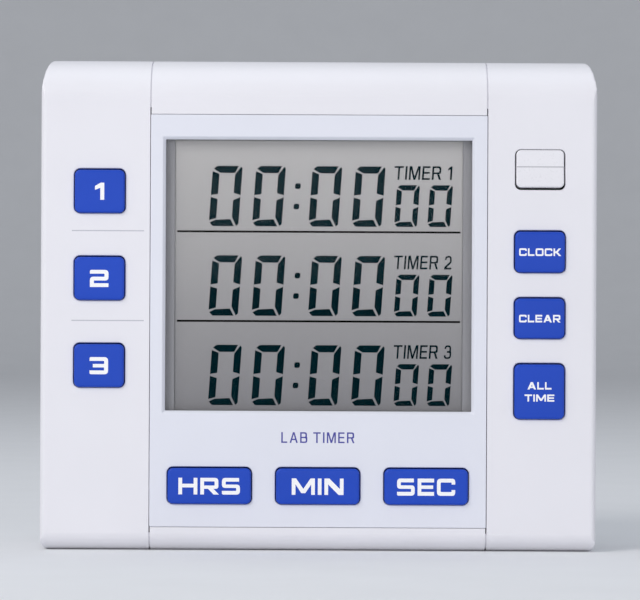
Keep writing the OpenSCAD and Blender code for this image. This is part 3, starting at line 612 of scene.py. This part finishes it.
THIN_GLYPHS = {
    "T": (.74, [[(.295, 0), (.445, 0), (.445, .87), (.74, .87), (.74, 1), (0, 1), (0, .87),
                 (.295, .87)]]),
    "I": (THIN, [[(0, 0), (THIN, 0), (THIN, 1), (0, 1)]]),
    "M": (.9, [[(0, 0), (.14, 0), (.14, .74), (.38, 0), (.52, 0), (.76, .74), (.76, 0), (.9, 0),
                (.9, 1), (.69, 1), (.45, .24), (.21, 1), (0, 1)]]),
    "E": (.64, [[(0, 0), (.64, 0), (.64, .13), (THIN, .13), (THIN, .45), (.6, .45), (.6, .58),
                 (THIN, .58), (THIN, .87), (.63, .87), (.63, 1), (0, 1)]]),
    "R": (.76, [[(0, 0), (THIN, 0), (THIN, .43), (.4, .43), (.59, 0), (.76, 0), (.57, .44),
                 (.72, .46, .1), (.72, 1, .22), (0, 1)],
                [(THIN, .55), (.57, .55, .12), (.57, .87, .12), (THIN, .87)]]),
    "L": (.6, [[(0, 0), (.6, 0), (.6, .13), (THIN, .13), (THIN, 1), (0, 1)]]),
    "A": (.82, [[(0, 0), (.16, 0), (.24, .26), (.58, .26), (.66, 0), (.82, 0), (.49, 1), (.33, 1)],
                [(.28, .38), (.54, .38), (.41, .8)]]),
    "B": (.72, [[(0, 0), (.72, 0, .24), (.72, .52, .12), (.68, .54, .08), (.68, 1, .22), (0, 1)],
                [(THIN, .13), (.57, .13, .12), (.57, .45, .12), (THIN, .45)],
                [(THIN, .57), (.53, .57, .1), (.53, .87, .12), (THIN, .87)]]),
    "1": (.34, [[(.19, 0), (.34, 0), (.34, 1), (.23, 1), (0, .83), (0, .69), (.19, .78)]]),
    "2": (.62, [[(0, 0), (.62, 0), (.62, .13), (.2, .13), (.6, .5, .1), (.6, 1, .28),
                 (.02, 1, .28), (.02, .7), (.16, .7), (.16, .87, .12), (.46, .87, .14),
                 (.46, .57, .1), (0, .16)]]),
    "3": (.62, [[(0, 0, .24), (.62, 0, .26), (.62, .52, .1), (.58, .54, .06), (.58, 1, .26),
                 (.02, 1, .24), (.02, .74), (.16, .74), (.16, .87, .08), (.44, .87, .12),
                 (.44, .58, .06), (.24, .58), (.24, .45), (.48, .45, .08), (.48, .13, .12),
                 (.15, .13, .08), (.15, .27), (0, .27)]]),
}
LETTER_GAP = 0.19
WORD_GAP = 0.36
INK_WELD = 0.0005 * MM


def rounded(points, parts=4):
    """Rounds the corners that carry a radius."""
    result = []
    count = len(points)
    for i, point in enumerate(points):
        here = Vector(point[:2])
        radius = point[2] if len(point) > 2 else 0
        if not radius:
            result.append(here)
            continue
        to_last = (Vector(points[i - 1][:2]) - here).normalized()
        to_next = (Vector(points[(i + 1) % count][:2]) - here).normalized()
        half = to_last.angle(to_next) / 2
        reach = radius / math.tan(half)
        start = here + to_last * reach
        end = here + to_next * reach
        for k in range(parts + 1):
            t = k / parts
            result.append((1 - t) ** 2 * start + 2 * t * (1 - t) * here + t * t * end)
    return result


def text_width(text, glyphs, gap):
    width = 0
    for letter in text:
        width += WORD_GAP if letter == " " else glyphs[letter][0] + gap
    return width - gap


def flat_shape(name, outlines, thickness):
    """A thin plate centred on y 0, from outlines in X and Z; an outline inside another is a hole."""
    curve = bpy.data.curves.new(name, "CURVE")
    curve.dimensions = "2D"
    curve.fill_mode = "BOTH"
    curve.extrude = thickness / 2
    for outline in outlines:
        spline = curve.splines.new("POLY")
        spline.points.add(len(outline) - 1)
        for point, (px, pz) in zip(spline.points, outline):
            point.co = (px, pz, 0, 1)
        spline.use_cyclic_u = True
    maker = add_object(name + "_outline", curve)
    bpy.context.view_layer.update()
    graph = bpy.context.evaluated_depsgraph_get()
    mesh = bpy.data.meshes.new_from_object(maker.evaluated_get(graph))
    bpy.data.objects.remove(maker)
    bpy.data.curves.remove(curve)
    for vertex in mesh.vertices:
        px, pz, depth = vertex.co
        vertex.co = (px, depth, pz)
    mesh.name = name
    obj = add_object(name, mesh)
    bm = bmesh.new()
    bm.from_mesh(mesh)
    bmesh.ops.remove_doubles(bm, verts=bm.verts, dist=INK_WELD)
    bmesh.ops.recalc_face_normals(bm, faces=bm.faces)
    bm.to_mesh(mesh)
    bm.free()
    return obj


def lettering(name, lines, x, z, y, thickness, glyphs=GLYPHS, gap=LETTER_GAP, slant=0):
    """Lines of (text, height, width, middle z from z), each set out about x, as one thin piece."""
    outlines = []
    for text, height, width, rise in lines:
        across = width / text_width(text, glyphs, gap)
        cursor = x - width / 2
        for letter in text:
            if letter == " ":
                cursor += WORD_GAP * across
                continue
            glyph_w, shapes = glyphs[letter]
            for shape in shapes:
                outlines.append([(cursor + p.x * across + (p.y - 0.5) * height * slant,
                                  z + rise + (p.y - 0.5) * height) for p in rounded(shape)])
            cursor += (glyph_w + gap) * across
    obj = flat_shape(name, outlines, thickness)
    for vertex in obj.data.vertices:
        vertex.co.y += y
    return obj


# Lines on each key, in mm: the text, its height, its width and its middle above the key's middle.
LEGENDS = {
    "key_1": [("1", 3.5, 1.9, 0)],
    "key_2": [("2", 3.5, 3.8, 0)],
    "key_3": [("3", 3.5, 3.8, 0)],
    "key_clock": [("CLOCK", 1.55, 8.6, 0)],
    "key_clear": [("CLEAR", 1.55, 8.5, 0)],
    "key_all_time": [("ALL", 1.5, 4.9, 1.25), ("TIME", 1.45, 6.1, -1.25)],
    "key_hrs": [("HRS", 3.4, 12.6, 0)],
    "key_min": [("MIN", 3.35, 10.6, 0)],
    "key_sec": [("SEC", 3.5, 11.9, 0)],
}
LEGEND_T = 0.03 * MM


def build_legend(node):
    """The printed word, laid on the key's crowned face."""
    x, z, w, h, front, _ = key_shape(node)
    lines = [(text, height * MM, width * MM, rise * MM)
             for text, height, width, rise in LEGENDS[node]]
    obj = lettering(node + "_legend", lines, x, z, 0, LEGEND_T)
    for vertex in obj.data.vertices:
        inward = min(w / 2 - abs(vertex.co.x - x), h / 2 - abs(vertex.co.z - z))
        vertex.co.y += front + key_drop(inward) - LEGEND_T / 6
    obj.data.materials.append(LEGEND)
    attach(obj, node)


# ---- Rocker ----

CREASE_H = 0.24 * MM
CREASE_RISE = 0.35 * MM
CREASE_INSET = 0.1 * MM


def build_painted_crease_shadow():
    """A painted shadow line across the rocker: a thin grey bar where its flush half meets its raised
    half.
    """
    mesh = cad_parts["switch_rocker"].data
    plate = [v.co for v in mesh.vertices if v.co.y < FACE_Y + 1 * MM]
    left, right = min(p.x for p in plate), max(p.x for p in plate)
    z = (min(p.z for p in plate) + max(p.z for p in plate)) / 2 + CREASE_RISE
    tree = BVHTree.FromPolygons([v.co for v in mesh.vertices], [p.vertices for p in mesh.polygons])
    before = Vector(((left + right) / 2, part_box("switch_rocker")[0][1] - 1 * MM, z))
    hit = tree.ray_cast(before, Vector((0, 1, 0)))[0]
    # The thin grey bar is painted shadow along the rocker's crease.
    thin_bar("rocker_painted_crease_shadow", left + CREASE_INSET, right - CREASE_INSET, z, CREASE_H, hit.y, CREASE_SHADOW_PAINT,
             "switch_rocker")


# ---- Display ----

SLANT = math.tan(math.radians(4))
INK_T = 0.02 * MM
INK_Y = FILM_Y - INK_T / 2
ROW_PITCH = 18.4 * MM
ROWS = [DISPLAY_Z + 16.3 * MM - i * ROW_PITCH for i in range(3)]
# Width, height, stroke and gap between segments of the large and the small digits.
LARGE_DIGIT = (6.1 * MM, 12.4 * MM, 1.45 * MM, 0.2 * MM)
SMALL_DIGIT = (4.7 * MM, 8.6 * MM, 1.1 * MM, 0.16 * MM)
LARGE_X = (-19.2 * MM, -10.3 * MM, 1.3 * MM, 10.2 * MM)
SMALL_X = (18.1 * MM, 24.9 * MM)
SMALL_DROP = 1.9 * MM
COLON_X = -4.5 * MM
COLON_RISE = 2.1 * MM
DOT = 1.15 * MM
LABEL_X = 21.4 * MM
LABEL_RISE = 4.9 * MM
LABEL_H = 2.8 * MM
LABEL_W = 11.9 * MM
LABEL_GAP = 0.16
LINE_DROP = 7.3 * MM
LINE_END = 29.1 * MM
LINE_H = 0.4 * MM
WING_OUT = 50.6 * MM
WING_IN = 35.8 * MM
WING_LINE_H = 0.2 * MM
WORDS_RISE = 18.4 * MM
WORDS_H = 2.2 * MM
WORDS_W = 15 * MM
WORDS_GAP = 0.24


def digit_outlines(x, z, size):
    """The six lit segments of a nought, slanted, about its middle."""
    w, h, t, gap = size
    half = h / 2
    shapes = [
        [(gap, h - .4 * t), (.65 * t, h), (w - .55 * t, h), (w - t, h - t), (t + .1 * t, h - t)],
        [(w - .2 * t, h - .1 * t), (w, h - .35 * t), (w, half + gap), (w - t, half + .45 * t),
         (w - t, h - t - .25 * t)],
        [(w, half - gap), (w, .35 * t), (w - .3 * t, .02 * t), (w - t, 1.3 * t),
         (w - t, half - .6 * t)],
        [(w - .62 * t, 0), (w - 1.2 * t, t), (.9 * t, .9 * t), (.1 * t, .5 * t), (.6 * t, 0)],
        [(0, half - gap), (t, half - .45 * t), (t, t + gap), (0, .85 * t)],
        [(0, h - .75 * t), (t, h - t - gap), (t, half + .3 * t), (0, half + gap)],
    ]
    return [[(x - w / 2 + px + (pz - half) * SLANT, z - half + pz) for px, pz in shape]
            for shape in shapes]


def dot_outline(x, z, size):
    return [(x + px + pz * SLANT, z + pz) for px, pz in round_rect(size, size, size * 0.3, 4)]


def build_row(number, z):
    """Hours and minutes in large digits with a colon, and seconds in small ones."""
    outlines = []
    for x in LARGE_X:
        outlines += digit_outlines(x, z, LARGE_DIGIT)
    for rise in (-COLON_RISE, COLON_RISE):
        outlines.append(dot_outline(COLON_X + rise * SLANT, z + rise, DOT))
    for x in SMALL_X:
        outlines += digit_outlines(x, z - SMALL_DROP, SMALL_DIGIT)
    digits = flat_shape("display_digits_%d" % number, outlines, INK_T)
    for vertex in digits.data.vertices:
        vertex.co.y += INK_Y
    finish_ink(digits, INK_DARK)


def finish_ink(obj, material):
    obj.data.materials.append(material)
    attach(obj, "root")


def build_label(number, z):
    """The small channel name above the seconds, in thin slanted letters."""
    line = ("TIMER %d" % number, LABEL_H, LABEL_W, 0)
    obj = lettering("display_label_%d" % number, [line], LABEL_X, z + LABEL_RISE, INK_Y, INK_T,
                    THIN_GLYPHS, LABEL_GAP, SLANT)
    finish_ink(obj, INK_DARK)


def thin_bar(name, x0, x1, z, height, y, material, body="root"):
    low, high = z - height / 2, z + height / 2
    outline = [(x0, low), (x1, low), (x1, high), (x0, high)]
    obj = flat_shape(name, [outline], INK_T)
    for vertex in obj.data.vertices:
        vertex.co.y += y
    obj.data.materials.append(material)
    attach(obj, body)


def build_display():
    """Three rows with their labels, the lines between them, and the words under the display."""
    for number, z in enumerate(ROWS, 1):
        build_row(number, z)
        build_label(number, z)
    for number in (1, 2):
        z = ROWS[number - 1] - LINE_DROP
        thin_bar("display_line_%d" % number, -LINE_END, LINE_END, z, LINE_H, INK_Y, INK_BLACK)
        thin_bar("wing_line_%d" % number, -WING_OUT, -WING_IN, z, WING_LINE_H, FACE_Y, INK_GREY)
    words = lettering("panel_words", [("LAB TIMER", WORDS_H, WORDS_W, 0)], 0,
                      PANEL_LOW[2] + WORDS_RISE, FACE_Y, INK_T, THIN_GLYPHS, WORDS_GAP)
    words.data.materials.append(INK_BLUE)
    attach(words, "root")


# ---- Stage, light and camera ----

def build_stage():
    """A pale floor that sweeps up into a backdrop."""
    half = 3.0
    sweep_r = 0.6
    back = 1.6
    top = 3.5
    angles = [math.radians(a) for a in range(0, 91, 6)]
    profile = [(-half, 0)]
    profile += [(back + sweep_r * math.sin(a), sweep_r * (1 - math.cos(a))) for a in angles]
    profile.append((back + sweep_r, top))
    verts = [(x, y, z) for x in (-half, half) for y, z in profile]
    n = len(profile)
    faces = [(i, i + 1, n + i + 1, n + i) for i in range(n - 1)]
    floor = mesh_object("stage_floor", verts, faces)
    paper = moulded("stage_paper", (0.80, 0.81, 0.83), rough=0.9, grain=300, mottle=0.01)
    floor.data.materials.append(paper)


# Each light: its name, place, width and height, power in watts and colour.
LIGHTS = [
    ("key_light", (-0.75, -0.75, 0.75), (0.6, 0.6), 6.9, (1, 0.975, 0.965)),
    ("top_light", (0.0, 0.1, 1.0), (1.0, 0.8), 2.9, (0.86, 0.93, 1)),
    ("fill_light", (0.9, -1.0, 0.4), (0.9, 0.9), 2.8, (0.96, 0.96, 1)),
    ("low_light", (-0.1, -1.0, 0.16), (1.2, 0.2), 1.5, (1, 0.97, 0.98)),
]
ROOM_COLOR = (0.80, 0.83, 0.88, 1)
ROOM_STRENGTH = 0.42


def area_light(name, place, target, size, power, color):
    data = bpy.data.lights.new(name, "AREA")
    data.shape = "RECTANGLE"
    data.size, data.size_y = size
    data.energy = power
    data.color = color
    obj = add_object(name, data)
    obj.location = place
    obj.rotation_euler = (Vector(target) - Vector(place)).to_track_quat("-Z", "Y").to_euler()


def build_light():
    middle = (MID_X, FACE_Y, MID_Z)
    for name, place, size, power, color in LIGHTS:
        area_light(name, place, middle, size, power, color)
    world = bpy.data.worlds.new("pale_room")
    world.use_nodes = True
    background = world.node_tree.nodes["Background"]
    background.inputs["Color"].default_value = ROOM_COLOR
    background.inputs["Strength"].default_value = ROOM_STRENGTH
    bpy.context.scene.world = world
    bpy.context.scene.view_settings.view_transform = "Standard"


def build_camera():
    """In front of the display and level with it, the case filling most of the frame."""
    distance = 0.7
    case_share = 0.8695
    aside = 0.3 * MM
    above = 1.0 * MM
    roll = math.radians(0.27)
    data = bpy.data.cameras.new("camera")
    data.sensor_width = 36
    data.lens = data.sensor_width * distance * case_share / (CASE_HIGH[0] - CASE_LOW[0])
    data.clip_start = 0.01
    obj = add_object("camera", data)
    obj.location = (MID_X + aside, FACE_Y - distance, MID_Z + above)
    obj.rotation_euler = (math.radians(90), -roll, 0)
    bpy.context.scene.camera = obj


build_camera()
build_stage()
build_light()
paint_frame()
build_case()
for key in KEYS:
    build_key(key)
    build_legend(key)
for mat_side, mat_keys in (("left", KEYS[:3]), ("right", KEYS[3:6]), ("bottom", KEYS[6:])):
    build_mat(mat_side, mat_keys)
build_painted_crease_shadow()
build_display()
